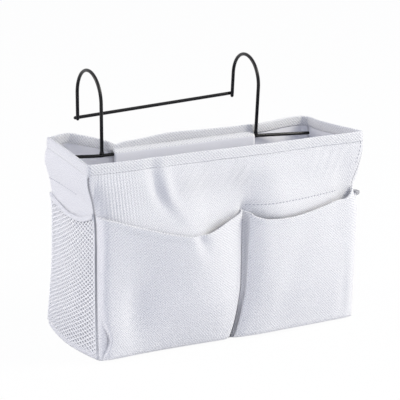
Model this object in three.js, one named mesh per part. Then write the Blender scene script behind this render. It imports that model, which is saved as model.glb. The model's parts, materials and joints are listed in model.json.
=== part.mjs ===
// Bedside caddy: a white cloth bag with front and side pockets, hung on a bed rail by a black wire hanger.
// Millimetres, +Z up. The origin is the centre of the base's underside.
// The front faces -Y and the bed rail is at +Y.

import * as THREE from "three";

// Bag
const baseWidth = 304;
const baseDepth = 127;
const bagHeight = 213.6; // top of the front hem
const rimFlare = 10.5; // each front corner stands this far outside the base at the rim
const frontRimLean = 6; // the front rim stands this far ahead of the base
const leftRimDepth = 121.5; // front to back along the left rim
const rightRimDepth = 99.5; // the right rim is drawn in further
const backRimFlare = 1; // the rear corners hardly flare
const leftRearRise = 2.8; // the rear left corner stands this much above the front rim
const rightRearDrop = 8; // the rear right corner sags this much below it
const frontCornerPinch = 5; // the front corners draw in at the pocket mouths
const frontPinchSkew = 1.9; // the higher, the nearer to the rim a corner draws in
const backCornerPinch = 17;
const backPinchSkew = 1.4;
const pinchSharpness = 1.3;
const sideBow = 9; // the base's short sides bow out between their corners
const sideBowFade = 1.5; // the higher, the sooner the bow fades up the panel
const rightRimBow = 6; // the right rim bows in between its corners
const frontBulge = 4;

// Cloth
const panelThickness = 1.6;
const hemThickness = 1;
const hemHeight = 10;
const pocketThickness = 1.2;
const netThickness = 1;
const bindingHeight = 7;
const bindingThickness = 0.8;
const gap = 0.3; // between sewn or resting pieces
const seamRoom = 0.7; // room left for a corner seam
const foldGap = 0.5; // between a cloth and the strip folded over its edge

// Base board
const boardThickness = 2.5;
const boardInset = 5;
const boardCornerRadius = 8;

// Wire hanger
const wireDiameter = 3.5;
const hookSpacing = 185.8; // between the two legs
const hookWidth = 59.5; // leg to tail, between wire centres
const hookRise = 85.3; // top of the hook above the lower rod, between wire centres
const hookTwist = THREE.MathUtils.degToRad(5.5); // the right hook is sprung this far ahead of the left one
const tailLength = 59.5; // hook top to tail end
const crossbarInset = 2.6; // tail end to crossbar centre
const crossbarOverhang = 3; // past the left tail
const hangerOffset = -12.6; // the hanger sits left of the bag's middle
const rodDrop = 18.3; // lower rod below the front rim
const rodFromPanel = 6.2; // rod centre to the middle of the back panel's cloth
const rodFromFront = 90.2; // rod centre behind the front rim
const rodEndGap = 8; // rod's right end to the right panel
const rodEndDroop = 4.5; // the rod's right end is bent down
const footStraight = 5; // from the left leg to the bend in the rod's left end
const footBend = 6;
const footCornerGap = 13; // bent left end to the rear left corner

// Rod sleeve
const sleevePlay = 13.5; // left leg to the sleeve's left end
const sleeveEndGap = 1; // sleeve's right end to the right leg
const sleeveThickness = 1.2;
const sleeveRoom = 0.4; // round the rod
const sleeveTabRise = 6.5; // sewn edge above the rod
const sleeveDrop = 24; // lower sewn edge below the rod
const sleeveTuck = 9; // the lower tab turns out to the rod here
const backRimDrop = 8.8; // back rim below the front rim where the sleeve holds it
const leftShoulder = 26; // free cloth beside the rear left corner
const rightShoulder = 8;
const shoulderBulge = 5;

// Front pockets
const pocketFoot = 1.5; // bottom edge above the base's underside
const pocketSeamInset = 2; // outer seam to the corner
const leftMouthHeight = 156;
const centreMouthHeight = 143;
const rightMouthHeight = 150;
const leftMouthSag = 20;
const leftSagSkew = 1.1; // over 1, the sag is deepest right of the middle
const rightMouthSag = 9;
const rightSagSkew = 0.8;
const centreSeamLean = 12; // the centre seam leans right this much
const centreSeamBend = 90; // and stands upright above this height
const centreSeamGap = 2;
const pocketDepth = 20;
const pocketMouthBow = 5; // extra depth at the mouth
const gussetWidth = 9;
const slopeFoot = 10; // sloping right end of a pocket, at the bottom
const leftSlopeMouth = 56; // and at the mouth
const rightSlopeMouth = 70;
const pocketBottomRound = 34;

// Side net pockets
const netFrontHeight = 155;
const netRearHeight = 150;
const netSag = 8;
const netBulge = 9;
const netBottomRound = 40; // the net reaches its full bulge at this height
const netSeamInset = 4;

// Facets
const wireSides = 10;
const panelRows = 10;
const sideColumns = 8; // across a side panel
const gussetShare = 0.25; // of a pocket's columns, those on its gusset
const slopeShare = 0.7; // and those before its slope

const halfCloth = panelThickness / 2;
const wireRadius = wireDiameter / 2;
const hemHalf = halfCloth + foldGap + hemThickness; // cloth middle to the hem's outer face
const panelTop = bagHeight - hemHalf;
const hemStart = 1 - hemHeight / panelTop;
const rodZ = bagHeight - rodDrop;
const rimWidth = baseWidth + 2 * rimFlare;
const backRimWidth = baseWidth + 2 * backRimFlare;
const frontRimY = -baseDepth / 2 - frontRimLean;
const rodY = frontRimY + rodFromFront;

const clothWhite = 0xf0f0f4;
const netWhite = 0xe9e9ee;
const wireBlack = 0x17161a;
const boardGrey = 0xcfcfd2;

const smooth = (t) => THREE.MathUtils.smoothstep(t, 0, 1);
const lerp = THREE.MathUtils.lerp;
const evenSteps = (count) => Array.from({ length: count + 1 }, (_, k) => k / count);

// A corner runs up from the base to the rim and draws in most at the height of the pocket mouths
function corner(base, rim, pinch, skew) {
  return (v) => {
    const draw = Math.abs(Math.sin(Math.PI * v ** skew)) ** pinchSharpness;
    return new THREE.Vector3().lerpVectors(base, rim, v).addScaledVector(pinch, draw);
  };
}

const leftRearTop = panelTop + leftRearRise;
const rightRearTop = panelTop - rightRearDrop;
const frontLeft = corner(
  new THREE.Vector3(-baseWidth / 2, -baseDepth / 2, 0),
  new THREE.Vector3(-rimWidth / 2, frontRimY, panelTop),
  new THREE.Vector3(frontCornerPinch, 0, 0),
  frontPinchSkew,
);
const frontRight = corner(
  new THREE.Vector3(baseWidth / 2, -baseDepth / 2, 0),
  new THREE.Vector3(rimWidth / 2, frontRimY, panelTop),
  new THREE.Vector3(-frontCornerPinch, 0, 0),
  frontPinchSkew,
);
const backLeft = corner(
  new THREE.Vector3(-baseWidth / 2, baseDepth / 2, 0),
  new THREE.Vector3(-backRimWidth / 2, frontRimY + leftRimDepth, leftRearTop),
  new THREE.Vector3(0, -backCornerPinch, 0),
  backPinchSkew,
);
const backRight = corner(
  new THREE.Vector3(baseWidth / 2, baseDepth / 2, 0),
  new THREE.Vector3(backRimWidth / 2, frontRimY + rightRimDepth, rightRearTop),
  new THREE.Vector3(0, -backCornerPinch, 0),
  backPinchSkew,
);

// The hanger's origin is on the lower rod, midway between the legs
const hangerOrigin = new THREE.Vector3(hangerOffset, rodY, rodZ);
const sleeveLeft = hangerOffset - hookSpacing / 2 + sleevePlay;
const sleeveRight = hangerOffset + hookSpacing / 2 - wireRadius - sleeveEndGap;

// Panels, each a surface point for u along the bag (anticlockwise from above) and v up from base to rim
function frontPoint(u, v) {
  const point = new THREE.Vector3().lerpVectors(frontLeft(v), frontRight(v), u);
  point.y -= frontBulge * Math.sin(Math.PI * u) * Math.sin(Math.PI * v);
  return point;
}

const baseBow = (u) => sideBow * Math.sin(Math.PI * u);
const bowAtHeight = (v) => (1 - v) ** sideBowFade;

function rightPoint(u, v) {
  const point = new THREE.Vector3().lerpVectors(frontRight(v), backRight(v), u);
  point.x += baseBow(u) * bowAtHeight(v) - rightRimBow * Math.sin(Math.PI * u) * v * v;
  return point;
}

function leftPoint(u, v) {
  const point = new THREE.Vector3().lerpVectors(backLeft(v), frontLeft(v), u);
  point.x -= baseBow(u) * bowAtHeight(v);
  return point;
}

// The sleeve pulls the back panel to a plane that leans in over the base
const sleevePlaneY = (z) => lerp(baseDepth / 2, rodY + rodFromPanel, z / rodZ);

function backPoint(u, v) {
  const right = backRight(v);
  const left = backLeft(v);
  const point = right.clone().lerp(left, u);
  const leftFree = left.x + leftShoulder;
  const rightFree = right.x - rightShoulder;
  const leftFlare = smooth((point.x - leftFree) / (sleeveLeft - leftFree));
  const rightFlare = smooth((rightFree - point.x) / (rightFree - sleeveRight));
  const held = Math.min(leftFlare, rightFlare);
  const fromCorner = Math.min((point.x - left.x) / leftShoulder, (right.x - point.x) / rightShoulder);
  const shoulder = shoulderBulge * v * smooth(fromCorner);
  const rimZ = lerp(lerp(rightRearTop, leftRearTop, u), panelTop - backRimDrop, held);
  point.z = v * rimZ;
  point.y = lerp(point.y + shoulder, sleevePlaneY(point.z), held);
  return point;
}

function normalAt(point, u, v) {
  const step = 1e-3;
  const alongU = point(Math.min(u + step, 1), v).sub(point(Math.max(u - step, 0), v));
  const alongV = point(u, Math.min(v + step, 1)).sub(point(u, Math.max(v - step, 0)));
  return alongU.cross(alongV).normalize();
}

// A closed skin between two grids of points, with its four edges joined
function skin(outer, inner) {
  const columns = outer.length;
  const rows = outer[0].length;
  const positions = [];
  const index = [];
  for (const p of [...outer.flat(), ...inner.flat()]) positions.push(p.x, p.y, p.z);
  const out = (i, j) => i * rows + j;
  const back = (i, j) => (columns + i) * rows + j;
  const quad = (a, b, c, d) => index.push(a, b, c, a, c, d);
  for (let i = 0; i < columns - 1; i++) {
    for (let j = 0; j < rows - 1; j++) {
      quad(out(i, j), out(i + 1, j), out(i + 1, j + 1), out(i, j + 1));
      quad(back(i, j), back(i, j + 1), back(i + 1, j + 1), back(i + 1, j));
    }
    const top = rows - 1;
    quad(back(i, 0), back(i + 1, 0), out(i + 1, 0), out(i, 0));
    quad(out(i, top), out(i + 1, top), back(i + 1, top), back(i, top));
  }
  for (let j = 0; j < rows - 1; j++) {
    const end = columns - 1;
    quad(back(0, j), out(0, j), out(0, j + 1), back(0, j + 1));
    quad(out(end, j), back(end, j), back(end, j + 1), out(end, j + 1));
  }
  const geometry = new THREE.BufferGeometry();
  geometry.setAttribute("position", new THREE.Float32BufferAttribute(positions, 3));
  geometry.setIndex(index);
  geometry.computeVertexNormals();
  return geometry;
}

// Cloth of even thickness on a surface, cut level along its foot
function cloth(point, columns, rows, thickness) {
  const face = (side) => columns.map((u) => rows.map((v) => {
    const middle = point(u, v);
    const moved = middle.clone().addScaledVector(normalAt(point, u, v), (side * thickness) / 2);
    if (v === 0) moved.z = middle.z;
    return moved;
  }));
  return skin(face(1), face(-1));
}

// A folded strip over the top edge of a cloth: up its outer face, over, and down its inner face
function fold(point, columns, startV, clothThickness, stripThickness) {
  const inside = clothThickness / 2 + foldGap;
  const turn = [0, 45, 90, 135, 180].map(THREE.MathUtils.degToRad);
  const layer = (reach) => columns.map((u) => {
    const top = point(u, 1);
    const low = point(u, startV);
    const topNormal = normalAt(point, u, 1);
    const lowNormal = normalAt(point, u, startV);
    const up = top.clone().sub(low).normalize();
    const over = turn.map((angle) => top.clone()
      .addScaledVector(topNormal, reach * Math.cos(angle))
      .addScaledVector(up, reach * Math.sin(angle)));
    const outerFoot = low.clone().addScaledVector(lowNormal, reach);
    const innerFoot = low.clone().addScaledVector(lowNormal, -reach);
    return [outerFoot, ...over, innerFoot];
  });
  return skin(layer(inside + stripThickness), layer(inside));
}

// Columns of a panel, with part of its width left free at its start and its end
function inset(columns, width, startRoom, endRoom) {
  return columns.map((u) => (u === 0 ? startRoom / width : u === 1 ? 1 - endRoom / width : u));
}

// The same surface made of the straight stretches between its columns, so that a hem lies flat on its panel
function faceted(point, columns) {
  return (u, v) => {
    const last = columns.findLastIndex((column) => column <= u);
    const k = THREE.MathUtils.clamp(last, 0, columns.length - 2);
    const share = (u - columns[k]) / (columns[k + 1] - columns[k]);
    return point(columns[k], v).lerp(point(columns[k + 1], v), share);
  };
}

// Room that two hems leave free where they meet at a rim corner, by the angle between them
function hemCorner(before, after) {
  const step = 1e-3;
  const back = before(1 - step, 1).sub(before(1, 1));
  const ahead = after(step, 1).sub(after(0, 1));
  return hemHalf / Math.tan(back.angleTo(ahead) / 2) + gap;
}

// Rod sleeve: a strip sewn to the panel below the rod and to the hem above it
function sleeveGeometry() {
  const onPanel = halfCloth + gap + sleeveThickness / 2;
  const onHem = hemHalf + gap + sleeveThickness / 2;
  const wrap = wireRadius + sleeveRoom + sleeveThickness / 2;
  const tab = (rise, standOff) => new THREE.Vector3(0, sleevePlaneY(rodZ + rise) - standOff, rodZ + rise);
  const round = [-60, -30, 0, 30, 60].map((degrees) => {
    const angle = THREE.MathUtils.degToRad(degrees);
    return new THREE.Vector3(0, rodY - wrap * Math.cos(angle), rodZ + wrap * Math.sin(angle));
  });
  const section = [
    tab(-sleeveDrop, onPanel), tab(-sleeveTuck, onPanel), ...round,
    tab(wireRadius + hemHeight / 4, onHem), tab(sleeveTabRise, onHem),
  ];
  const stretches = section.length - 1;
  const surface = (u, v) => {
    const k = Math.min(Math.floor(v * stretches), stretches - 1);
    return section[k].clone().lerp(section[k + 1], v * stretches - k).setX(lerp(sleeveLeft, sleeveRight, u));
  };
  return cloth(surface, [0, 1], evenSteps(stretches), sleeveThickness);
}

// Front pockets, bowed out from the front panel between an outer seam and the centre seam
const frontV = (z) => z / panelTop;
const centreSeamX = (z) => centreSeamLean * Math.sin((Math.PI / 2) * Math.min(z / centreSeamBend, 1));

function pocketSurface({ startX, endX, startHeight, endHeight, sag, sagSkew, slopeMouth }) {
  // Plan of the pocket: a tight gusset at its left, a flat face, then a straight slope back to the panel
  const plan = (s, width, v) => {
    if (s < gussetShare) {
      const angle = (s / gussetShare) * (Math.PI / 2);
      return { x: gussetWidth * (1 - Math.cos(angle)), depth: Math.sin(angle) };
    }
    const slopeWidth = lerp(slopeFoot, slopeMouth, v);
    const along = (s - gussetShare) / (slopeShare - gussetShare);
    if (along < 1) return { x: lerp(gussetWidth, width - slopeWidth, along), depth: 1 };
    const fall = (s - slopeShare) / (1 - slopeShare);
    return { x: width - slopeWidth * (1 - fall), depth: 1 - fall };
  };
  const mouthAt = (share) => lerp(startHeight, endHeight, share) - sag * Math.sin(Math.PI * share ** sagSkew);
  return (s, v) => {
    const mouthWidth = endX(centreMouthHeight) - startX(centreMouthHeight);
    const mouth = mouthAt(plan(s, mouthWidth, 1).x / mouthWidth);
    const z = lerp(pocketFoot, mouth, v);
    const left = startX(z);
    const { x, depth } = plan(s, endX(z) - left, v);
    const rise = Math.min((z - pocketFoot) / pocketBottomRound, 1);
    const swell = pocketDepth * Math.sin((Math.PI / 2) * rise) + pocketMouthBow * v * v;
    const height = frontV(z);
    const across = (left + x - frontLeft(height).x) / (frontRight(height).x - frontLeft(height).x);
    const point = frontPoint(across, height);
    point.y -= halfCloth + gap + pocketThickness / 2 + depth * swell;
    return point;
  };
}

const leftPocketPoint = pocketSurface({
  startX: (z) => frontLeft(frontV(z)).x + pocketSeamInset,
  endX: (z) => centreSeamX(z) - centreSeamGap / 2,
  startHeight: leftMouthHeight,
  endHeight: centreMouthHeight,
  sag: leftMouthSag,
  sagSkew: leftSagSkew,
  slopeMouth: leftSlopeMouth,
});
const rightPocketPoint = pocketSurface({
  startX: (z) => centreSeamX(z) + centreSeamGap / 2,
  endX: (z) => frontRight(frontV(z)).x - pocketSeamInset,
  startHeight: centreMouthHeight,
  endHeight: rightMouthHeight,
  sag: rightMouthSag,
  sagSkew: rightSagSkew,
  slopeMouth: rightSlopeMouth,
});

// Side net pockets, slung between the corner seams of a side panel
function netSurface(panelPoint, startHeight, endHeight, width) {
  const ends = netSeamInset / width;
  return (u, v) => {
    const across = lerp(ends, 1 - ends, u);
    const arch = Math.sin(Math.PI * u);
    const top = (lerp(startHeight, endHeight, u) - netSag * arch) / panelTop;
    const foot = pocketFoot / panelTop;
    const height = lerp(foot, top, v);
    const rise = Math.min((height * panelTop - pocketFoot) / netBottomRound, 1);
    const swell = netBulge * arch * Math.sin((Math.PI / 2) * rise);
    const underBinding = gap + bindingThickness + foldGap;
    const standOff = halfCloth + underBinding + netThickness / 2 + swell;
    return panelPoint(across, height).addScaledVector(normalAt(panelPoint, across, height), standOff);
  };
}

const leftNetPoint = netSurface(leftPoint, netRearHeight, netFrontHeight, leftRimDepth);
const rightNetPoint = netSurface(rightPoint, netFrontHeight, netRearHeight, rightRimDepth);

// Wire along a path, with flat cut ends
function wireGeometry(path, steps) {
  const section = new THREE.Shape().absarc(0, 0, wireRadius, 0, 2 * Math.PI);
  return new THREE.ExtrudeGeometry(section, { extrudePath: path, steps, curveSegments: wireSides / 2 });
}

function joinCurves(...curves) {
  const path = new THREE.CurvePath();
  for (const curve of curves) path.add(curve);
  return path;
}

function rodPath() {
  const height = rodZ / rightRearTop;
  const rightWall = rightPoint((rodY - frontRimY) / rightRimDepth, height).x;
  const rightEnd = new THREE.Vector3(rightWall - rodEndGap - hangerOffset, 0, -rodEndDroop);
  const rightBend = new THREE.Vector3(hookSpacing / 2 + footStraight, 0, 0);
  const knee = new THREE.Vector3(-hookSpacing / 2 - footStraight, 0, 0);
  const rearCorner = backLeft(rodZ / leftRearTop).setZ(rodZ).sub(hangerOrigin);
  const footDirection = rearCorner.clone().sub(knee);
  const footLength = footDirection.length() - footCornerGap;
  footDirection.normalize();
  const bendStart = knee.clone().setX(knee.x + footBend);
  const bendEnd = knee.clone().addScaledVector(footDirection, footBend);
  const footEnd = knee.clone().addScaledVector(footDirection, footLength);
  return joinCurves(
    new THREE.LineCurve3(rightEnd, rightBend),
    new THREE.LineCurve3(rightBend, bendStart),
    new THREE.QuadraticBezierCurve3(bendStart, knee, bendEnd),
    new THREE.LineCurve3(bendEnd, footEnd),
  );
}

// A point of a hook's own plane, which turns about the rod by the hook's twist
function hookPoint(x, twist, y, z) {
  return new THREE.Vector3(x, y, z).applyAxisAngle(new THREE.Vector3(1, 0, 0), twist);
}

// Hook: up from the rod, half a turn over the rail, and down to the tail's end
function hookPath(x, twist) {
  const radius = hookWidth / 2;
  const pull = radius * 0.5523; // control length of a quarter circle
  const at = (y, z) => hookPoint(x, twist, y, z);
  const shoulderZ = hookRise - radius;
  return joinCurves(
    new THREE.LineCurve3(at(0, wireRadius + gap), at(0, shoulderZ)),
    new THREE.CubicBezierCurve3(
      at(0, shoulderZ), at(0, shoulderZ + pull),
      at(radius - pull, hookRise), at(radius, hookRise)),
    new THREE.CubicBezierCurve3(
      at(radius, hookRise), at(radius + pull, hookRise),
      at(hookWidth, shoulderZ + pull), at(hookWidth, shoulderZ)),
    new THREE.LineCurve3(at(hookWidth, shoulderZ), at(hookWidth, hookRise - tailLength)),
  );
}

// Crossbar: behind both tails, running past each of them
function crossbarPath() {
  const y = hookWidth + wireDiameter + gap;
  const z = hookRise - tailLength + crossbarInset;
  const left = hookPoint(-hookSpacing / 2, 0, y, z);
  const right = hookPoint(hookSpacing / 2, hookTwist, y, z);
  const along = right.clone().sub(left).normalize();
  left.addScaledVector(along, -crossbarOverhang);
  right.addScaledVector(along, wireRadius);
  return new THREE.LineCurve3(left, right);
}

// Base cloth and the stiff board that lies on it
function baseGeometry() {
  const room = halfCloth + seamRoom;
  const halfWidth = baseWidth / 2 - room;
  const halfDepth = baseDepth / 2 - room;
  const bowed = (side) => evenSteps(sideColumns).map((u) => {
    const x = side * (halfWidth + baseBow(u));
    return new THREE.Vector2(x, side * lerp(-halfDepth, halfDepth, u));
  });
  const outline = new THREE.Shape([...bowed(1), ...bowed(-1)]);
  return new THREE.ExtrudeGeometry(outline, { depth: panelThickness, bevelEnabled: false });
}

function boardGeometry() {
  const halfWidth = baseWidth / 2 - boardInset - boardCornerRadius;
  const halfDepth = baseDepth / 2 - boardInset - boardCornerRadius;
  const quarter = Math.PI / 2;
  const outline = new THREE.Shape();
  outline.absarc(halfWidth, halfDepth, boardCornerRadius, 0, quarter);
  outline.absarc(-halfWidth, halfDepth, boardCornerRadius, quarter, 2 * quarter);
  outline.absarc(-halfWidth, -halfDepth, boardCornerRadius, 2 * quarter, 3 * quarter);
  outline.absarc(halfWidth, -halfDepth, boardCornerRadius, 3 * quarter, 4 * quarter);
  outline.closePath();
  return new THREE.ExtrudeGeometry(outline, { depth: boardThickness, bevelEnabled: false, curveSegments: 3 })
    .translate(0, 0, panelThickness + gap);
}

function addPiece(parent, name, geometry, color, roughness, metalness = 0) {
  const material = new THREE.MeshStandardMaterial({ color, roughness, metalness, side: THREE.DoubleSide });
  const mesh = new THREE.Mesh(geometry, material);
  mesh.name = name;
  parent.add(mesh);
}

const caddy = new THREE.Group();
const bag = new THREE.Group();
const hanger = new THREE.Group();
caddy.add(bag, hanger);
hanger.position.copy(hangerOrigin);

const rows = [...evenSteps(panelRows).filter((v) => v < hemStart), hemStart, 1];
const sideRoom = halfCloth + seamRoom;
const panels = [
  { name: "front", point: frontPoint, width: rimWidth, columns: evenSteps(12), seam: 0 },
  { name: "right", point: rightPoint, width: rightRimDepth, columns: evenSteps(sideColumns), seam: sideRoom },
  { name: "back", point: backPoint, width: backRimWidth, columns: evenSteps(36), seam: 0 },
  { name: "left", point: leftPoint, width: leftRimDepth, columns: evenSteps(sideColumns), seam: sideRoom },
];
panels.forEach(({ name, point, width, columns, seam }, k) => {
  const previous = panels[(k + 3) % 4].point;
  const next = panels[(k + 1) % 4].point;
  const panelColumns = inset(columns, width, seam, seam);
  const hemColumns = inset(columns, width, hemCorner(previous, point), hemCorner(point, next));
  addPiece(bag, `${name}_panel`, cloth(point, panelColumns, rows, panelThickness), clothWhite, 0.9);
  const hem = fold(faceted(point, columns), hemColumns, hemStart, panelThickness, hemThickness);
  addPiece(bag, `${name}_hem`, hem, clothWhite, 0.9);
});
addPiece(bag, "base_panel", baseGeometry(), clothWhite, 0.9);
addPiece(bag, "base_board", boardGeometry(), boardGrey, 0.7);
addPiece(bag, "rod_sleeve", sleeveGeometry(), clothWhite, 0.9);

const pocketColumns = evenSteps(20);
const pocketRows = [0, 0.04, 0.09, 0.15, 0.22, 0.4, 0.6, 0.8, 0.92, 1];
const pockets = [["left", leftPocketPoint], ["right", rightPocketPoint]];
for (const [side, point] of pockets) {
  const pocket = cloth(point, pocketColumns, pocketRows, pocketThickness);
  addPiece(bag, `${side}_front_pocket`, pocket, clothWhite, 0.9);
}

const nets = [["left", leftNetPoint], ["right", rightNetPoint]];
const netColumns = evenSteps(10);
const bindingStart = 1 - bindingHeight / netFrontHeight;
const netRows = [...evenSteps(8).filter((v) => v < bindingStart), bindingStart, 1];
for (const [side, point] of nets) {
  addPiece(bag, `${side}_mesh_pocket`, cloth(point, netColumns, netRows, netThickness), netWhite, 0.95);
  const binding = fold(point, netColumns, bindingStart, netThickness, bindingThickness);
  addPiece(bag, `${side}_mesh_binding`, binding, clothWhite, 0.9);
}

addPiece(hanger, "lower_rod", wireGeometry(rodPath(), 40), wireBlack, 0.35, 0.4);
addPiece(hanger, "left_hook", wireGeometry(hookPath(-hookSpacing / 2, 0), 30), wireBlack, 0.35, 0.4);
addPiece(hanger, "right_hook", wireGeometry(hookPath(hookSpacing / 2, hookTwist), 30), wireBlack, 0.35, 0.4);
addPiece(hanger, "rear_crossbar", wireGeometry(crossbarPath(), 1), wireBlack, 0.35, 0.4);

export default caddy;
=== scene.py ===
import json
import math

import bpy
import numpy as np
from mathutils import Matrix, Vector, noise


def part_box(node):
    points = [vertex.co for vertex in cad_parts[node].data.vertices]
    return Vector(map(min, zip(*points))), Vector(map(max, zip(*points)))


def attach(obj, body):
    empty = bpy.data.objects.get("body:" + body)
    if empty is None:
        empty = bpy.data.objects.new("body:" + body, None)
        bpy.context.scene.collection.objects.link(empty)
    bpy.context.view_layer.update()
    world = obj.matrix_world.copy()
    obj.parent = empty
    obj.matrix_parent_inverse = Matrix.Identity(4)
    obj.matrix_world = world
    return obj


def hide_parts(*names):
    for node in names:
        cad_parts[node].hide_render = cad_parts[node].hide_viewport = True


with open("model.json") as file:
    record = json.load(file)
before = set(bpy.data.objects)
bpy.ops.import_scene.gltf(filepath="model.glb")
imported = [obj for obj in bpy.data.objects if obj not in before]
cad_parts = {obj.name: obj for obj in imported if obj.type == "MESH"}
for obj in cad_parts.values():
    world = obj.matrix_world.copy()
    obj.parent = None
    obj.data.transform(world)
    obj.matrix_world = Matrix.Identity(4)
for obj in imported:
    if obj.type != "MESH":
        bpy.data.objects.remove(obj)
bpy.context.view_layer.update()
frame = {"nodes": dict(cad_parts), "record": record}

# Studio
# A plain pale sweep under soft light, as for a catalogue picture: a large lamp high at the front
# right, weaker ones behind the left end and over the camera, and an even pale room. The camera
# stands at the front left, a little above the caddy.
scene = bpy.context.scene
scene.view_settings.view_transform = "Standard"
camera_place = Vector((-0.9786, -1.8757, 0.7400))
camera_aim = Vector((0.0007, 0.0, 0.1378))
camera_lens = 183.5
sensor_width = 36.0
middle_of_bag = Vector((0.0, 0.0, 0.11))
plain_white = (1.0, 1.0, 1.0, 1.0)
room_colour = "#DAE3FF"
room_strength = 0.478
sweep_colour = "#F2F2F4"
sweep_size = 14.0
sweep_drop = 0.0004
shadow_hidden = 0.965


def linear(hex_colour):
    """An sRGB hex colour as linear red, green, blue and alpha."""
    channels = [int(hex_colour[i:i + 2], 16) / 255 for i in (1, 3, 5)]
    return tuple(c / 12.92 if c <= 0.04045 else ((c + 0.055) / 1.055) ** 2.4 for c in channels) + (1.0,)


def fill_inputs(tree, node, inputs):
    """Links each named input of a node to a socket, or sets it to a value."""
    for name, value in inputs.items():
        if isinstance(value, bpy.types.NodeSocket):
            tree.links.new(value, node.inputs[name])
        else:
            node.inputs[name].default_value = value


def add_node(tree, kind, inputs=None, **settings):
    """A new node with its settings, values and links."""
    node = tree.nodes.new(kind)
    for name, value in settings.items():
        setattr(node, name, value)
    fill_inputs(tree, node, inputs or {})
    return node


def seen_directly(tree):
    """1 for a ray that comes from the camera, a reflection or clear stuff, and 0 for other light."""
    rays = add_node(tree, "ShaderNodeLightPath").outputs
    either = add_node(
        tree, "ShaderNodeMath", {0: rays["Is Camera Ray"], 1: rays["Is Glossy Ray"]}, operation="MAXIMUM")
    return add_node(
        tree, "ShaderNodeMath", {0: either.outputs[0], 1: rays["Is Transmission Ray"]}, operation="MAXIMUM")


def new_material(name):
    material = bpy.data.materials.new(name)
    material.use_nodes = True
    return material, material.node_tree


def in_scene(name, data):
    """A new object that holds a camera, a lamp or a mesh, linked to the scene."""
    thing = bpy.data.objects.new(name, data)
    scene.collection.objects.link(thing)
    return thing


def stand(thing, place, aim):
    """Puts a camera or a lamp at its place, turned towards its aim."""
    thing.location = place
    thing.rotation_euler = (aim - Vector(place)).to_track_quat("-Z", "Y").to_euler()


def soft_lamp(name, place, width, watts, colour):
    """A square soft box that faces the bag."""
    light = bpy.data.lights.new(name, "AREA")
    light.size = width
    light.energy = watts
    light.color = linear(colour)[:3]
    stand(in_scene(name, light), place, middle_of_bag)


camera_data = bpy.data.cameras.new("photo_camera")
camera_data.lens = camera_lens
camera_data.sensor_width = sensor_width
scene.camera = in_scene("photo_camera", camera_data)
stand(scene.camera, camera_place, camera_aim)

soft_lamp("key_lamp", place=(1.66, -1.03, 1.61), width=1.0, watts=45.2, colour="#FFFBEE")
soft_lamp("end_lamp", place=(-2.05, 0.80, 1.06), width=1.3, watts=26.8, colour="#FFFAF3")
soft_lamp("front_lamp", place=(-0.75, -1.75, 1.55), width=1.2, watts=5.5, colour="#FFFEFB")

# The room lights the bag with its pale blue, and the camera sees it plain white.
scene.world = bpy.data.worlds.new("pale_room")
scene.world.use_nodes = True
room = scene.world.node_tree
room.nodes.clear()
room_light = add_node(room, "ShaderNodeBackground", {"Color": linear(room_colour), "Strength": room_strength})
room_seen = add_node(room, "ShaderNodeBackground", {"Color": plain_white, "Strength": 1.0})
room_mix = add_node(room, "ShaderNodeMixShader", {
    0: seen_directly(room).outputs[0], 1: room_light.outputs[0], 2: room_seen.outputs[0]})
add_node(room, "ShaderNodeOutputWorld", {"Surface": room_mix.outputs[0]})

# Matt white paper: nearly all of what the camera sees of it is plain white, so that only a faint
# shadow shows under the bag.
sweep_material, paper = new_material("matt_white_paper")
paper.nodes.clear()
paper_matt = add_node(paper, "ShaderNodeBsdfDiffuse", {"Color": linear(sweep_colour)})
paper_white = add_node(paper, "ShaderNodeEmission", {"Color": plain_white, "Strength": 1.0})
paper_share = add_node(
    paper, "ShaderNodeMath", {0: seen_directly(paper).outputs[0], 1: shadow_hidden}, operation="MULTIPLY")
paper_mix = add_node(paper, "ShaderNodeMixShader", {
    0: paper_share.outputs[0], 1: paper_matt.outputs[0], 2: paper_white.outputs[0]})
add_node(paper, "ShaderNodeOutputMaterial", {"Surface": paper_mix.outputs[0]})
sweep_corners = [(x * sweep_size / 2, y * sweep_size / 2, -sweep_drop)
                 for x, y in ((-1, -1), (1, -1), (1, 1), (-1, 1))]
sweep_mesh = bpy.data.meshes.new("sweep")
sweep_mesh.from_pydata(sweep_corners, [], [(0, 1, 2, 3)])
sweep_mesh.materials.append(sweep_material)
sweep = in_scene("sweep", sweep_mesh)

# Base board
# A stiff sheet that lies loose on the bag's floor and keeps it flat. Pressed grey board, cut with
# round corners, with a dull surface and a faint speckle.
mm = 0.001
board_roughness = 0.8


def grained(name, grain, detail, dark_hex, light_hex, strength, relief):
    """A material whose fine grain mottles its tone and roughens its surface, and the grain's socket.
    A Mix node's colours are its inputs 6 and 7 and its output 2."""
    material, tree = new_material(name)
    place = add_node(tree, "ShaderNodeTexCoord")
    speckle = add_node(tree, "ShaderNodeTexNoise", {
        "Vector": place.outputs["Object"], "Scale": 1 / grain, "Detail": detail})
    tone = add_node(tree, "ShaderNodeMix", {
        0: speckle.outputs[0], 6: linear(dark_hex), 7: linear(light_hex)}, data_type="RGBA")
    bump = add_node(tree, "ShaderNodeBump", {
        "Height": speckle.outputs[0], "Strength": strength, "Distance": relief})
    fill_inputs(tree, tree.nodes["Principled BSDF"], {
        "Base Color": tone.outputs[2], "Normal": bump.outputs[0]})
    return material, speckle.outputs[0]


board_material, _ = grained(
    "pressed_grey_board", grain=2.5 * mm, detail=4.0, dark_hex="#C4C4C9", light_hex="#DEDEE2",
    strength=0.3, relief=0.2 * mm)
board_tree = board_material.node_tree
fill_inputs(board_tree, board_tree.nodes["Principled BSDF"], {"Roughness": board_roughness})
for board_slot in frame["nodes"]["base_board"].material_slots:
    board_slot.material = board_material

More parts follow.
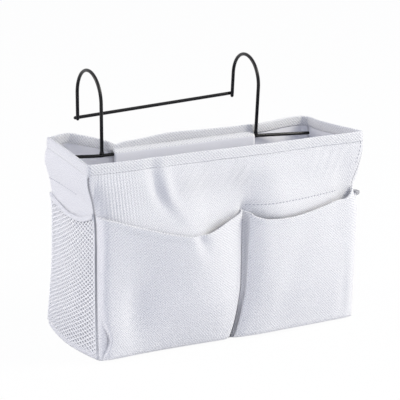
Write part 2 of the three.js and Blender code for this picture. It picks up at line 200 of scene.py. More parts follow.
# Bag shell
# The bag's four walls and floor, cut from white polyester canvas with a smooth lining, sewn together
# at the corners and along the floor's edge. The cloth is slack: it bellies out low on the ends, is
# drawn in at the corner seams, and hangs in a full fold over the mouths of the front pockets.
panel_thickness = 1.6 * mm
half_panel = panel_thickness / 2
panel_top = 211.3 * mm
hem_height = 10 * mm
hem_start = 1 - hem_height / panel_top
rod_axis = Vector(frame["record"]["behaviour"]["joints"][0]["pos_m"])
sleeve_left, sleeve_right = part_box("rod_sleeve")[0].x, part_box("rod_sleeve")[1].x
base_half_depth = 63.5 * mm
pinch_sharpness = 1.3


def lerp(start, end, share):
    return start + (end - start) * share


def smooth(share):
    share = np.clip(share, 0.0, 1.0)
    return share * share * (3.0 - 2.0 * share)


def hump(value, centre, reach):
    return np.exp(-((value - centre) / reach) ** 2)


def through(*points):
    """A smooth line through points given as place and value in mm, as a function that gives metres."""
    places, values = np.array(points, float).T
    values = values * mm
    slopes = np.gradient(values, places)

    def at(place):
        k = np.clip(np.searchsorted(places, place, side="right") - 1, 0, len(places) - 2)
        step = places[k + 1] - places[k]
        t = np.clip((place - places[k]) / step, 0, 1)
        leaving = (1 + 2 * t) * (1 - t) ** 2 * values[k] + t * (1 - t) ** 2 * step * slopes[k]
        return leaving + t * t * (3 - 2 * t) * values[k + 1] - t * t * (1 - t) * step * slopes[k + 1]

    return at


def corner_line(foot, rim, pinch, skew, *swells):
    """A corner seam from floor to rim, drawn in where the cloth is slack. Each swell is a shift, its
    height and its reach. All in mm."""
    foot, rim, pinch = (np.array(place) * mm for place in (foot, rim, pinch))

    def at(v):
        drawn = np.abs(np.sin(np.pi * v ** skew)) ** pinch_sharpness
        line = foot + (rim - foot) * v[..., None] + pinch * drawn[..., None]
        for shift, height, reach in swells:
            line = line + np.array(shift) * mm * hump(line[..., 2], height * mm, reach * mm)[..., None]
        return line

    return at


front_left = corner_line((-152, -63.5, 0), (-162.5, -69.5, 211.3), (5, 0, 0), 1.9, ((-2.6, 0, 0), 190, 15))
front_right = corner_line(
    (153.5, -63.5, 0), (161.0, -69.5, 209.8), (-3, 0, 0), 1.9, ((3, 0, 0), 193, 14), ((-7, 0, 0), 153, 16))
back_left = corner_line((-152, 63.5, 0), (-153.5, 53, 212.8), (0, -15, 0), 1.0, ((-1.5, 8.5, 0), 188, 15))
back_right = corner_line((153.5, 63.5, 0), (155.5, 32, 205), (0, -17, 0), 1.4, ((0, 3, 0), 184, 12))

# The pockets' mouths, and how far the band above them hangs out, run by shares of a pocket's width.
pockets_start = -155 * mm
pockets_meet = 12 * mm
pockets_end = 150 * mm
left_mouth = through(
    (0, 158.5), (0.03, 157.5), (0.177, 149.5), (0.34, 140.2), (0.503, 132.9), (0.6, 130), (0.674, 130.6),
    (0.74, 132.6), (0.805, 135.2), (0.9, 139.3), (0.96, 142.5), (1, 145))
right_mouth = through(
    (0, 144.8), (0.046, 140.3), (0.126, 136.3), (0.245, 134.1), (0.404, 133.6), (0.595, 136.0),
    (0.714, 138.4), (0.809, 140.8), (0.9, 141.6), (0.95, 145.5), (1, 152.5))
left_band = through(
    (0, 0), (0.03, 7), (0.06, 11), (0.12, 14), (0.2, 16.3), (0.34, 19.7), (0.5, 23), (0.6, 23.2),
    (0.67, 19.5), (0.73, 14.5), (0.83, 8.5), (0.92, 5.5), (1, 4))
right_band = through(
    (0, 4), (0.05, 6.5), (0.13, 12), (0.25, 15.5), (0.4, 14), (0.6, 9.8), (0.714, 7.0), (0.8, 4.5),
    (0.87, 1.5), (0.93, 0), (1, 0))
front_belly = 4 * mm


def front_sheet(u, v):
    """The front without its folds, from its left seam to its right."""
    wall = lerp(front_left(v), front_right(v), u[..., None])
    wall[..., 1] -= front_belly * np.sin(np.pi * u) * np.sin(np.pi * v)
    return wall


# The front's folds. A pair is the middle and the reach of what fades out on both sides.
band_top = 204 * mm
band_tuck = 36 * mm
slope_curve = 1.2
roll_curve = 1.6
roll_start = -55 * mm
roll_run = 40 * mm
crest_on_slope, crest_on_roll = -2 * mm, 4.5 * mm
right_settle = 35 * mm
tack_reach = 4.5 * mm
tack_top = 157 * mm
tack_fade = 11 * mm
front_cuff = 2.0 * mm
front_cuff_up = (186 * mm, 13 * mm)
fold_depth = 3.0 * mm
fold_half_width = 5.8 * mm
fold_head, fold_foot = -86 * mm, -71 * mm
fold_top = 201 * mm
fold_run = 49 * mm
fold_longest = 1.6
fold_curve = 2.5
fold_up = (182 * mm, 26 * mm)
slack_depth = 0.6 * mm
slack_pitch = 10 * mm
gather_depth = 0.38 * mm
gather_pitch = 3.3 * mm
gather_across, gather_up = (-137 * mm, 26 * mm), (178 * mm, 30 * mm)
sewn_depth = 0.8 * mm
sewn_start, sewn_end = 12 * mm, 133 * mm
sewn_fade = 8 * mm
sewn_height = 149.8 * mm
sewn_reach = 2.5 * mm
# Each slack fold: its middle, height, reach across and reach up in mm, and its slope in degrees.
slack_folds = ((-45, 180, 26, 17, 40), (9, 182, 12, 16, 55), (118, 186, 20, 16, 62))


def front_wall(u, v):
    """The front as it hangs: the band above the pockets fills out to their mouths and tucks in below
    them. One deep fold and slack slanting ones run down from the hem, and gathers beside the seam."""
    wall = front_sheet(u, v)
    x, z = wall[..., 0], wall[..., 2]
    on_left = x < pockets_meet
    left_share = np.clip((x - pockets_start) / (pockets_meet - pockets_start), 0, 1)
    right_share = np.clip((x - pockets_meet) / (pockets_end - pockets_meet), 0, 1)
    lip = np.where(on_left, left_mouth(left_share), right_mouth(right_share))
    full = np.where(on_left, left_band(left_share), right_band(right_share))
    rolled = smooth((x - roll_start) / roll_run)
    crest = lip + lerp(crest_on_slope, crest_on_roll, rolled)
    hung = np.clip((band_top - z) / (band_top - crest), 0, 1)
    over_right = smooth((x - pockets_meet) / right_settle)
    hung = lerp(hung ** slope_curve, smooth(hung ** lerp(roll_curve, 1.0, over_right)), rolled)
    out = full * np.where(z > crest, hung, smooth((z - crest) / band_tuck + 1))
    out *= 1 - hump(x, pockets_meet, tack_reach) * smooth((tack_top - z) / tack_fade)
    out += front_cuff * np.sqrt(np.clip(np.sin(np.pi * u), 0, 1)) * hump(z, *front_cuff_up)
    drop = np.clip((fold_top - z) / fold_run, 0, fold_longest)
    beside = (x - lerp(fold_head, fold_foot, drop ** fold_curve)) / fold_half_width
    out += fold_depth * beside * np.exp(0.5 - beside ** 2 / 2) * hump(z, *fold_up)
    for middle, height, wide, tall, slope in slack_folds:
        slope = math.radians(slope)
        slant = (x - middle * mm) * math.sin(slope) - (z - height * mm) * math.cos(slope)
        slack = hump(x, middle * mm, wide * mm) * hump(z, height * mm, tall * mm)
        out += slack_depth * np.sin(2 * np.pi * slant / slack_pitch) * slack
    gathers = hump(x, *gather_across) * hump(z, *gather_up)
    out += gather_depth * np.sin(2 * np.pi * x / gather_pitch) * gathers
    sewn = smooth((x - sewn_start) / sewn_fade) * smooth((sewn_end - x) / sewn_fade)
    out -= sewn_depth * hump(z, sewn_height, sewn_reach) * sewn
    wall[..., 1] -= out
    return wall


end_bow = 8 * mm
end_bow_fall = 2.2
right_rim_bow = 3 * mm
right_fullness = 8 * mm
right_full_across, right_full_up = (0.075, 0.06), (163 * mm, 22 * mm)


def right_wall(u, v):
    """The right end, from the front seam to the back one: low belly, rim bowed in, full by the seam."""
    wall = lerp(front_right(v), back_right(v), u[..., None])
    across = np.sin(np.pi * u)
    wall[..., 0] += end_bow * across * (1 - v) ** end_bow_fall - right_rim_bow * across * v ** 2
    wall[..., 0] += right_fullness * hump(u, *right_full_across) * hump(wall[..., 2], *right_full_up)
    return wall


panel_off_rod = 4.6 * mm
sleeve_plane_top = 188 * mm


def sleeve_plane(z):
    """How far back the back wall stands at a height, where the rod's sleeve is sewn to it."""
    return lerp(base_half_depth, rod_axis.y + panel_off_rod, np.minimum(z / sleeve_plane_top, 1))


left_shoulder = 26 * mm
right_shoulder = 8 * mm
shoulder_bulge = 5 * mm
back_rim = through(
    (-160, 212.5), (-149, 212.4), (-129, 213.5), (-116, 211.6), (-105, 210), (-95, 207.2),
    (-87.5, 203.6), (-78, 205.0), (-60, 206.0), (-30, 208.6), (30, 207.4), (80, 206.4),
    (110, 206.0), (140, 205.9), (160, 205))


def back_wall(u, v):
    """The back, from the right seam to the left: flat and drawn down where the sleeve holds it to
    the rod, with a loose shoulder at each side."""
    right, left = back_right(v), back_left(v)
    wall = lerp(right, left, u[..., None])
    x = wall[..., 0]
    flare_left = left[..., 0] + left_shoulder
    flare_right = right[..., 0] - right_shoulder
    held = np.minimum(
        smooth((x - flare_left) / (sleeve_left - flare_left)),
        smooth((flare_right - x) / (flare_right - sleeve_right)))
    slack = smooth(np.minimum((x - left[..., 0]) / left_shoulder, (right[..., 0] - x) / right_shoulder))
    wall[..., 2] = v * back_rim(x / mm)
    wall[..., 1] = lerp(wall[..., 1] + shoulder_bulge * v * slack, sleeve_plane(wall[..., 2]), held)
    return wall


left_rim_rise = 2.5 * mm
left_cuff = 3.2 * mm
left_cuff_up = (191 * mm, 17 * mm)
left_crease = 1.2 * mm
left_crease_up = (168 * mm, 6 * mm)


def left_wall(u, v):
    """The left end, from the back seam to the front one: low belly and a full cuff above the net."""
    wall = lerp(back_left(v), front_left(v), u[..., None])
    z = wall[..., 2]
    across = np.sin(np.pi * u)
    out = end_bow * across * (1 - v) ** end_bow_fall
    out += left_cuff * across * hump(z, *left_cuff_up)
    out -= left_crease * across * hump(z, *left_crease_up)
    wall[..., 0] -= out
    wall[..., 2] += left_rim_rise * across * v ** 3
    return wall


def crowded(count, crowding):
    """Shares from 0 to 1 that lie closer together towards both ends."""
    share = np.linspace(0, 1, count + 1)
    return share - crowding * np.sin(2 * np.pi * share) / (2 * np.pi)


def stretches(start, *legs):
    """Shares that run from a start through legs, each given by its end and its number of steps."""
    shares = [[start]]
    for end, steps in legs:
        shares.append(np.linspace(start, end, steps + 1)[1:])
        start = end
    return np.concatenate(shares)


def grid_of(surface, u, v):
    return surface(*np.meshgrid(u, v, indexing="ij"))


def unit(vectors):
    return vectors / np.linalg.norm(vectors, axis=-1, keepdims=True)


# Noise is seeded so that every run gives the same ruffles. Each ruffle: its height in mm, its width.
ruffle_seed = 7
ruffles = ((0.8, 72 * mm), (0.35, 24 * mm))
ruffles_from = 20 * mm
noise.seed_set(ruffle_seed)


def ruffled(points, amount=1.0):
    """The points moved by the small soft waves that lie all over slack cloth."""
    shift = [sum((height * noise.noise_vector(Vector(p) / width) for height, width in ruffles), Vector())
             for p in points.reshape(-1, 3)]
    settled = smooth(points[..., 2] / ruffles_from) * amount
    return points + np.array(shift).reshape(points.shape) * mm * settled[..., None]


def grid_faces(points, closed=False):
    """Faces of a grid of points, and their UV corners in metres of cloth."""
    columns, rows = points.shape[:2]
    spans = columns if closed else columns - 1
    i, j = np.meshgrid(np.arange(spans), np.arange(rows - 1), indexing="ij")
    after = (i + 1) % columns
    faces = np.stack([i * rows + j, after * rows + j, after * rows + j + 1, i * rows + j + 1], -1)
    beyond = np.concatenate([points, points[:1]]) if closed else points
    wide = np.linalg.norm(np.diff(beyond, axis=0), axis=-1).mean(axis=1)
    tall = np.linalg.norm(np.diff(points, axis=1), axis=-1).mean(axis=0)
    wide, tall = (np.concatenate([[0.0], np.cumsum(lengths)]) for lengths in (wide, tall))
    corners = [(wide[i], tall[j]), (wide[i + 1], tall[j]), (wide[i + 1], tall[j + 1]), (wide[i], tall[j + 1])]
    uvs = np.stack([np.stack(corner, -1) for corner in corners], -2)
    return faces.reshape(-1, 4), uvs.reshape(-1, 4, 2)


def mesh_piece(name, vertices, edges, faces):
    """A smooth mesh as an object at the origin."""
    mesh = bpy.data.meshes.new(name)
    mesh.from_pydata(np.reshape(vertices, (-1, 3)).tolist(), edges, faces)
    mesh.shade_smooth()
    return in_scene(name, mesh)


def cloth_piece(name, vertices, faces, uvs, material):
    piece = mesh_piece(name, vertices, [], faces.tolist())
    layer = piece.data.uv_layers.new(name="weave")
    layer.data.foreach_set("uv", np.asarray(uvs, dtype=np.float32).ravel())
    piece.data.materials.append(material)
    return piece


def paint(piece, name, values):
    """A number for each vertex of a piece, which its material reads by name."""
    layer = piece.data.attributes.new(name=name, type="FLOAT", domain="POINT")
    layer.data.foreach_set("value", np.asarray(values, dtype=np.float32).ravel())


def thicken(piece, thickness):
    solid = piece.modifiers.new("cloth_thickness", "SOLIDIFY")
    solid.thickness = thickness
    solid.offset = 0.0
    solid.use_even_offset = False
    return solid


slub_size = 1.1 * mm
patch_size = 85 * mm
weave_share = 0.85
# The grey towards which painted shade darkens the cloth.
painted_shade_colour = "#6A6A72"


def woven_cloth(name, thread_hex, gap_hex, shade_hex, pitch, relief, twill, contrast, shade_attribute="painted_shade"):
    """Matt woven polyester: rows of threads that pass over and under, seen as a fine checked grain,
    with a slanting rib where it is a twill, and darker where shade is painted on it. The real threads
    are about 0.5 mm apart, too fine to show, so the canvas is drawn about six times as coarse."""
    material, tree = new_material(name)
    turns = 2 * math.pi / pitch
    uv = add_node(tree, "ShaderNodeUVMap", uv_map="weave")
    place = add_node(tree, "ShaderNodeTexCoord")
    sides = add_node(tree, "ShaderNodeSeparateXYZ", {0: uv.outputs[0]})
    warp_phase, weft_phase = (
        add_node(tree, "ShaderNodeMath", {0: sides.outputs[axis], 1: turns}, operation="MULTIPLY").outputs[0]
        for axis in ("X", "Y"))
    warp, weft = (
        add_node(tree, "ShaderNodeMath", {0: phase}, operation="SINE").outputs[0]
        for phase in (warp_phase, weft_phase))
    over = add_node(tree, "ShaderNodeMath", {0: warp, 1: weft}, operation="MULTIPLY")
    slant = add_node(tree, "ShaderNodeMath", {0: warp_phase, 1: weft_phase})
    rib = add_node(tree, "ShaderNodeMath", {0: slant.outputs[0]}, operation="SINE")
    weave = add_node(tree, "ShaderNodeMix", {0: twill, 2: over.outputs[0], 3: rib.outputs[0]})
    slub = add_node(tree, "ShaderNodeTexNoise", {
        "Vector": uv.outputs[0], "Scale": 1 / slub_size, "Detail": 2.0})
    uneven = add_node(tree, "ShaderNodeMapRange", {
        "Value": slub.outputs[0], "From Min": 0.3, "From Max": 0.7, "To Min": -1.0, "To Max": 1.0})
    grain = add_node(tree, "ShaderNodeMath", {
        0: weave.outputs[0], 1: weave_share, 2: uneven.outputs[0]}, operation="MULTIPLY_ADD")
    bump = add_node(tree, "ShaderNodeBump", {
        "Height": grain.outputs[0], "Strength": 1.0, "Distance": relief})
    patch = add_node(tree, "ShaderNodeTexNoise", {
        "Vector": place.outputs["Object"], "Scale": 1 / patch_size, "Detail": 1.0})
    threads = add_node(tree, "ShaderNodeMix", {
        0: patch.outputs[0], 6: linear(thread_hex), 7: linear(shade_hex)}, data_type="RGBA")
    depth = add_node(tree, "ShaderNodeMapRange", {
        "Value": grain.outputs[0], "From Min": -1.6, "From Max": 0.9, "To Min": contrast, "To Max": 0.0})
    woven = add_node(tree, "ShaderNodeMix", {
        0: depth.outputs[0], 6: threads.outputs[2], 7: linear(gap_hex)}, data_type="RGBA")
    # Painted shade, a number on each vertex, darkens the woven colour towards that grey.
    painted_shade = add_node(tree, "ShaderNodeAttribute", attribute_name=shade_attribute)
    shaded = add_node(tree, "ShaderNodeMix", {
        0: painted_shade.outputs["Fac"], 6: woven.outputs[2], 7: linear(painted_shade_colour)}, data_type="RGBA")
    fill_inputs(tree, tree.nodes["Principled BSDF"], {
        "Roughness": 0.9, "Specular IOR Level": 0.25, "Sheen Weight": 0.1, "Sheen Roughness": 0.6,
        "Normal": bump.outputs[0], "Base Color": shaded.outputs[2]})
    return material


# The canvas outside shows a clear grain, and the lining inside is nearly smooth.
canvas = woven_cloth(
    "woven_polyester_canvas", "#FBFBFB", "#9E9EAA", "#F6F6F7",
    pitch=2.9 * mm, relief=0.13 * mm, twill=0.1, contrast=0.58)
# No piece carries the lining's shade attribute, so the lining has no painted shade.
lining = woven_cloth(
    "smooth_polyester_lining", "#F3F3F6", "#D8D8E0", "#EEEEF3",
    pitch=2.6 * mm, relief=0.04 * mm, twill=0.1, contrast=0.25, shade_attribute="lining_crease")

# The four walls as one closed grid, with close columns in the gathers and by the corners.
hem_rows = 7
end_columns = 48
end_crowding = 0.65
gathered_share, right_edge_share, foot_rows_share = 0.19, 0.97, 0.03
front_shares = stretches(0.0, (gathered_share, 80), (right_edge_share, 78), (1.0, 10))
front_columns = len(front_shares) - 1
back_shares = crowded(front_columns, end_crowding)
end_shares = crowded(end_columns, end_crowding)
rows_up = stretches(0.0, (foot_rows_share, 7), (hem_start, 61), (1.0, hem_rows - 1))
wall_shares = (
    (front_wall, front_shares), (right_wall, end_shares), (back_wall, back_shares), (left_wall, end_shares))
walls = np.concatenate([grid_of(wall, shares[:-1], rows_up) for wall, shares in wall_shares])
corner_columns = np.cumsum([0, front_columns, end_columns, front_columns])
# The corners are eased in turns: the columns on each side, the passes, and the height where it starts.
corner_easings = ((3, 4, -1.0), (9, 16, 188 * mm))
easing_fade = 15 * mm
for reach, passes, from_height in corner_easings:
    beside = np.concatenate([np.arange(c - reach, c + reach + 1) for c in corner_columns]) % len(walls)
    for _ in range(passes):
        mean = (np.roll(walls, 1, 0) + np.roll(walls, -1, 0)) / 4 + walls / 2
        share = smooth((walls[beside][..., 2:] - from_height) / easing_fade)
        walls[beside] = lerp(walls[beside], mean[beside], share)
back_ruffle = 0.2
ruffle_amount = np.ones((len(walls), 1))
ruffle_amount[corner_columns[2]:corner_columns[3]] = back_ruffle
walls = ruffled(walls, ruffle_amount)
wall_normals = unit(np.cross(np.roll(walls, -1, 0) - np.roll(walls, 1, 0), np.gradient(walls, axis=1)))

# The floor's edge is rounded. The corner seams are sunk, less towards the foot and not under the hem.
floor_edge_radius = 4 * mm
seam_grooves = (1.9 * mm, 0.5 * mm, 1.5 * mm, 1.5 * mm)
groove_at_foot = 0.3
groove_full_from = 80 * mm
groove_end = 6 * mm
shell = walls.copy()
rise = np.clip(shell[..., 2], 0, floor_edge_radius)
tuck = floor_edge_radius - np.sqrt(floor_edge_radius ** 2 - (floor_edge_radius - rise) ** 2)
shell[..., :2] -= wall_normals[..., :2] * tuck[..., None]
seam_height = shell[corner_columns][..., 2:]
sunk = smooth((hem_start * panel_top - seam_height) / groove_end)
sunk *= lerp(groove_at_foot, 1, smooth(seam_height / groove_full_from))
shell[corner_columns] -= wall_normals[corner_columns] * np.reshape(seam_grooves, (-1, 1, 1)) * sunk
shell[..., 2] = np.maximum(shell[..., 2], half_panel)
wall_faces, wall_uvs = grid_faces(shell, closed=True)

# The floor is spanned between the feet of the four walls.
rows = shell.shape[1]
around = np.arange(len(shell) + 1) % len(shell)
front_edge, right_edge, back_edge, left_edge = (
    around[start:stop + 1] for start, stop in zip(corner_columns, [*corner_columns[1:], len(shell)]))
back_edge, left_edge = back_edge[::-1], left_edge[::-1]
foot = shell[:, 0]
s, t = (share[..., None] for share in np.meshgrid(front_shares, end_shares, indexing="ij"))
corner_span = lerp(
    lerp(foot[front_edge[0]], foot[front_edge[-1]], s), lerp(foot[back_edge[0]], foot[back_edge[-1]], s), t)
floor = lerp(foot[front_edge][:, None], foot[back_edge][:, None], t)
floor = floor + lerp(foot[left_edge][None], foot[right_edge][None], s) - corner_span
floor_index = np.empty(floor.shape[:2], dtype=int)
floor_index[:, 0], floor_index[:, -1] = front_edge * rows, back_edge * rows
floor_index[0, :], floor_index[-1, :] = left_edge * rows, right_edge * rows
inner = floor[1:-1, 1:-1].reshape(-1, 3)
floor_index[1:-1, 1:-1] = np.arange(len(inner)).reshape(floor_index[1:-1, 1:-1].shape) + shell[..., 0].size
floor_faces, floor_uvs = (
    np.stack([grid[:-1, :-1], grid[:-1, 1:], grid[1:, 1:], grid[1:, :-1]], 2)
    for grid in (floor_index, floor[..., :2]))
bag_shell = cloth_piece(
    "bag_shell", np.concatenate([shell.reshape(-1, 3), inner]),
    np.concatenate([wall_faces, floor_faces.reshape(-1, 4)]),
    np.concatenate([wall_uvs, floor_uvs.reshape(-1, 4, 2)]), canvas)

# Painted shade: behind the nets, along the corner seams and beside the front left one, rising and
# falling in waves up each seam, and in slanting streaks where the front hangs slack.
net_shade, net_shade_top, net_shade_run = 0.03, 146 * mm, 110 * mm
clear_of_floor = 8 * mm
beside_seam_shades = {2: 0.1, 1: 0.5}
beside_seam_from, beside_seam_run = 30 * mm, 50 * mm
least_seam_shade, seam_shade_from, seam_shade_run = 0.05, 40 * mm, 60 * mm
seam_shade_swing, seam_shade_pitch = 0.22, 47 * mm
right_seam_up = (172 * mm, 20 * mm)
slack_shade, slack_shade_streak, slack_shade_pitch = 0.11, 0.4, 8 * mm
slack_shades_across, slack_shade_up = ((-45 * mm, 24 * mm), (9 * mm, 12 * mm)), (181 * mm, 17 * mm)
height = shell[..., 2]
painted_shade = np.zeros(shell.shape[:2])
for end in (slice(corner_columns[1], corner_columns[2]), slice(corner_columns[3], None)):
    painted_shade[end] = net_shade * smooth((net_shade_top - height[end]) / net_shade_run)
painted_shade *= height > clear_of_floor
for aside, shade in beside_seam_shades.items():
    painted_shade[[-aside, aside]] = shade * smooth((height[[-aside, aside]] - beside_seam_from) / beside_seam_run)
seam_shade_waves = 1 - seam_shade_swing + seam_shade_swing * np.sin(2 * np.pi * height[corner_columns] / seam_shade_pitch)
seam_shade = smooth((height[corner_columns] - seam_shade_from) / seam_shade_run) * seam_shade_waves
painted_shade[corner_columns] = lerp(least_seam_shade, 1, seam_shade)
painted_shade[corner_columns[1]] *= hump(height[corner_columns[1]], *right_seam_up)
front_x, front_z = shell[:front_columns, :, 0], height[:front_columns]
streak = 1 - slack_shade_streak + slack_shade_streak * np.sin(2 * np.pi * (front_x - front_z) / slack_shade_pitch)
for slack_shade_across in slack_shades_across:
    painted_shade[:front_columns] += slack_shade * streak * hump(front_x, *slack_shade_across) * hump(front_z, *slack_shade_up)
painted_shade[:, -hem_rows:] = 0.0
# The walls carry this painted shade, and the floor none.
paint(bag_shell, "painted_shade", np.concatenate([painted_shade.ravel(), np.zeros(len(inner))]))
bag_shell.data.materials.append(lining)
thicken(bag_shell, panel_thickness).material_offset = 1
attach(bag_shell, "bag")
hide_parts("front_panel", "right_panel", "back_panel", "left_panel", "base_panel")

# Rim hem
# A band of heavier white twill folded over the raw edge of the four walls and sewn through both
# sides. Its slanting ribs show, and it swells a little above the stitches at its foot.
hem_cloth = 0.6 * mm
hem_clearance = 0.03 * mm
hem_stand = half_panel + hem_cloth / 2 + hem_clearance
hem_swell = [off * mm for off in (0.5, 0.8, 1.05, 1.2, 1.28, 1.2)] + [hem_stand]
hem_turn = (30, 60, 90, 120, 150)
twill_tape = woven_cloth(
    "polyester_twill_tape", "#FFFFFF", "#9898A4", "#FCFCFC",
    pitch=3.5 * mm, relief=0.2 * mm, twill=0.6, contrast=0.6)


def folded_over(places, normals, stands, turn):
    """A strip folded over the top edge of a grid: its outer face, its turn and its inner face. The
    stands say how far off the grid each row lies, and the turn gives the fold's angles in degrees."""
    top, lean = places[:, -1], normals[:, -1]
    upright = unit(top - places[:, -2])
    outside = [places[:, k] + normals[:, k] * off for k, off in enumerate(stands)]
    fold = [top + (lean * math.cos(a) + upright * math.sin(a)) * stands[-1] for a in np.radians(turn)]
    inside = [places[:, k] - normals[:, k] * off for k, off in enumerate(stands)]
    return np.stack(outside + fold + inside[::-1], axis=1)


hem_normals = wall_normals[:, -hem_rows:]
hem_points = folded_over(walls[:, -hem_rows:], hem_normals, hem_swell, hem_turn)
rim_hem = cloth_piece("rim_hem", hem_points, *grid_faces(hem_points, closed=True), twill_tape)
thicken(rim_hem, hem_cloth)
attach(rim_hem, "bag")
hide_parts("front_hem", "right_hem", "back_hem", "left_hem")

# Rod sleeve
# A strip of smooth white lining cloth sewn to the inside of the back wall, along its lower edge and
# under the tape of the hem, so that it makes a flat tunnel. The hanger's lower rod turns in it.
sleeve_cloth = 1.2 * mm
sleeve_bore = 2.75 * mm
sleeve_face = rod_axis.y - sleeve_bore
sleeve_foot, foot_rise = -24 * mm, 3 * mm
foot_off_wall, foot_slack = 1.7 * mm, 2 * mm
sleeve_head, head_start = 5.0 * mm, 3.6 * mm
head_off_wall, head_slack = 2.2 * mm, 1.0 * mm
# Points of the sleeve's front: how far they lie behind its face, and their rise over the rod, in mm.
sleeve_front = ((2.2, -16), (0.5, -11), (0, -5))
sleeve_rows, sleeve_columns = 31, 64
sleeve_easing = 4
tape_edge = 0.4 * mm


def sleeve_tab(rise, off):
    """A point of the sleeve's section beside the back wall, at a rise over the rod."""
    return (sleeve_plane(rod_axis.z + rise) - off, rod_axis.z + rise)


def ease(grid, passes):
    """Draws each inner row of a grid towards its neighbours and leaves the two outer rows."""
    for _ in range(passes):
        grid[1:-1] = grid[1:-1] / 2 + (grid[:-2] + grid[2:]) / 4


sleeve_bends = np.array([
    sleeve_tab(sleeve_foot, foot_off_wall),
    sleeve_tab(sleeve_foot + foot_rise, foot_off_wall + foot_slack),
    *((sleeve_face + back * mm, rod_axis.z + rise * mm) for back, rise in sleeve_front),
    *((rod_axis.y - sleeve_bore * math.cos(a), rod_axis.z + sleeve_bore * math.sin(a))
      for a in np.radians((0, 30, 60))),
    sleeve_tab(head_start, head_off_wall + head_slack),
    sleeve_tab(sleeve_head, head_off_wall)])
along_bends = np.linspace(0, len(sleeve_bends) - 1, sleeve_rows)
sleeve_section = np.stack(
    [np.interp(along_bends, np.arange(len(sleeve_bends)), side) for side in sleeve_bends.T], -1)
ease(sleeve_section, sleeve_easing)
sleeve_points = np.array([
    [(x, y, z) for y, z in sleeve_section] for x in np.linspace(sleeve_left, sleeve_right, sleeve_columns)])
sleeve_faces, sleeve_uvs = grid_faces(sleeve_points)
rod_sleeve = cloth_piece("sewn_rod_sleeve", sleeve_points, sleeve_faces, sleeve_uvs, lining)
rod_sleeve.data.materials.append(twill_tape)
under_tape = sleeve_points[..., 2].ravel()[sleeve_faces].min(1) > rod_axis.z + tape_edge
rod_sleeve.data.polygons.foreach_set("material_index", under_tape.astype(np.int32))
thicken(rod_sleeve, sleeve_cloth)
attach(rod_sleeve, "bag")
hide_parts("rod_sleeve")

# Front pockets
# Two deep patch pockets of the same canvas sewn to the front wall along their sides and foot. Each
# has a pleat at its left side that lets it stand off the wall, and slopes back at its right side;
# the mouths sag and are turned under.
pocket_cloth = 1.2 * mm
pocket_foot = 1.5 * mm
pocket_clearance = 0.3 * mm
body_height = 50 * mm
foot_radius = 5 * mm
mouth_turn, mouth_fade = 7 * mm, 1.5 * mm
mouth_thickness = 1.7 * mm
pleat_share = 0.14
pleat_columns, face_columns, face_crowding = 28, 100, 0.6
foot_share, foot_steps, turn_share = 0.05, 8, 0.94
tuck_up = (24 * mm, 15 * mm)
mouth_passes, depth_easing, pocket_easing = 6, 8, 2
seam_foot, seam_lean_top = 1.6 * mm, 70 * mm
# The pockets' canvas is the same cloth, drawn a little brighter than the walls' as painted light, and with a
# deeper grain.
pocket_canvas = woven_cloth(
    "woven_polyester_canvas_pocket", "#FFFFFF", "#9A9AA6", "#FCFCFD",
    pitch=3.05 * mm, relief=0.14 * mm, twill=0.1, contrast=0.66)


def centre_seam(z):
    """Where the seam between the two pockets stands at a height: it leans from the floor's middle."""
    return seam_foot + (pockets_meet - seam_foot) * np.sin(np.pi / 2 * np.minimum(z / seam_lean_top, 1))


def front_surface(x, z, sheet=front_wall):
    """The front wall's own y at a place on it."""
    v = z / panel_top
    left, right = front_left(v)[..., 0], front_right(v)[..., 0]
    return sheet((x - left) / (right - left), v)[..., 1]


def front_pocket(name, start_of, end_of, mouth_of, depths, pleat, tucked_pleat, creases):
    """A pocket as a grid, from foot to mouth. The depths say how far it stands off the wall at its
    foot, at body height and at its mouth. A pleat's section is a list of steps sideways, in mm, and
    shares of the depth; the tucked one is the fold that the pleat makes near the floor."""
    over_pleat = np.linspace(0, pleat_share, pleat_columns + 1)[:-1]
    share = np.concatenate([over_pleat, lerp(pleat_share, 1, crowded(face_columns, face_crowding))])
    near_foot = foot_share * np.linspace(0, 1, foot_steps + 1)[:-1] ** 2
    v = np.concatenate([near_foot, stretches(foot_share, (turn_share, 47), (1.0, 6))])
    along, up = np.meshgrid(share, v, indexing="ij")
    in_pleat = along < pleat_share
    over_face = np.clip((along - pleat_share) / (1 - pleat_share), 0, 1)
    bends = np.linspace(0, pleat_share, len(pleat))
    open_section, tucked_section = (
        [np.interp(along, bends, side) for side in zip(*section)] for section in (pleat, tucked_pleat))
    mouth_at = along
    # The mouth's height depends on the place across, which the pleat shifts: a few passes settle it.
    for _ in range(mouth_passes):
        mouth = mouth_of(mouth_at)
        z = lerp(pocket_foot, mouth, up)
        width = end_of(z) - start_of(z)
        tucked = hump(z, *tuck_up)
        aside, stands = (lerp(*sides, tucked) for sides in zip(open_section, tucked_section))
        offset = np.where(in_pleat, aside * mm, lerp(aside * mm, width, over_face))
        mouth_at = np.clip(offset / width, 0, 1)
    x = start_of(z) + offset
    at_foot, at_body, at_mouth = (depth_of(mouth_at) for depth_of in depths)
    depth = lerp(at_foot, at_body, np.clip(z / body_height, 0, 1))
    depth = lerp(depth, at_mouth, np.clip((z - body_height) / (mouth - body_height), 0, 1)) + creases(x, z)
    depth *= np.where(in_pleat, stands, 1.0)
    ease(depth.T, depth_easing)
    depth *= np.sqrt(1 - (1 - np.clip((z - pocket_foot) / foot_radius, 0, 1)) ** 2)
    y = front_surface(x, z, front_sheet) - half_panel - pocket_clearance - pocket_cloth / 2 - depth
    points = np.stack([x, y, z], -1)
    ease(points, pocket_easing)
    points = ruffled(points)
    pocket = cloth_piece(name, points, *grid_faces(points), pocket_canvas)
    near_mouth = smooth((z - (mouth - mouth_turn)) / mouth_fade)
    group = pocket.vertex_groups.new(name="turned_mouth")
    for index, weight in enumerate(near_mouth.ravel()):
        group.add([index], float(weight), "REPLACE")
    solid = thicken(pocket, mouth_thickness)
    solid.vertex_group = "turned_mouth"
    solid.thickness_vertex_group = pocket_cloth / mouth_thickness
    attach(pocket, "bag")
    return pocket, points


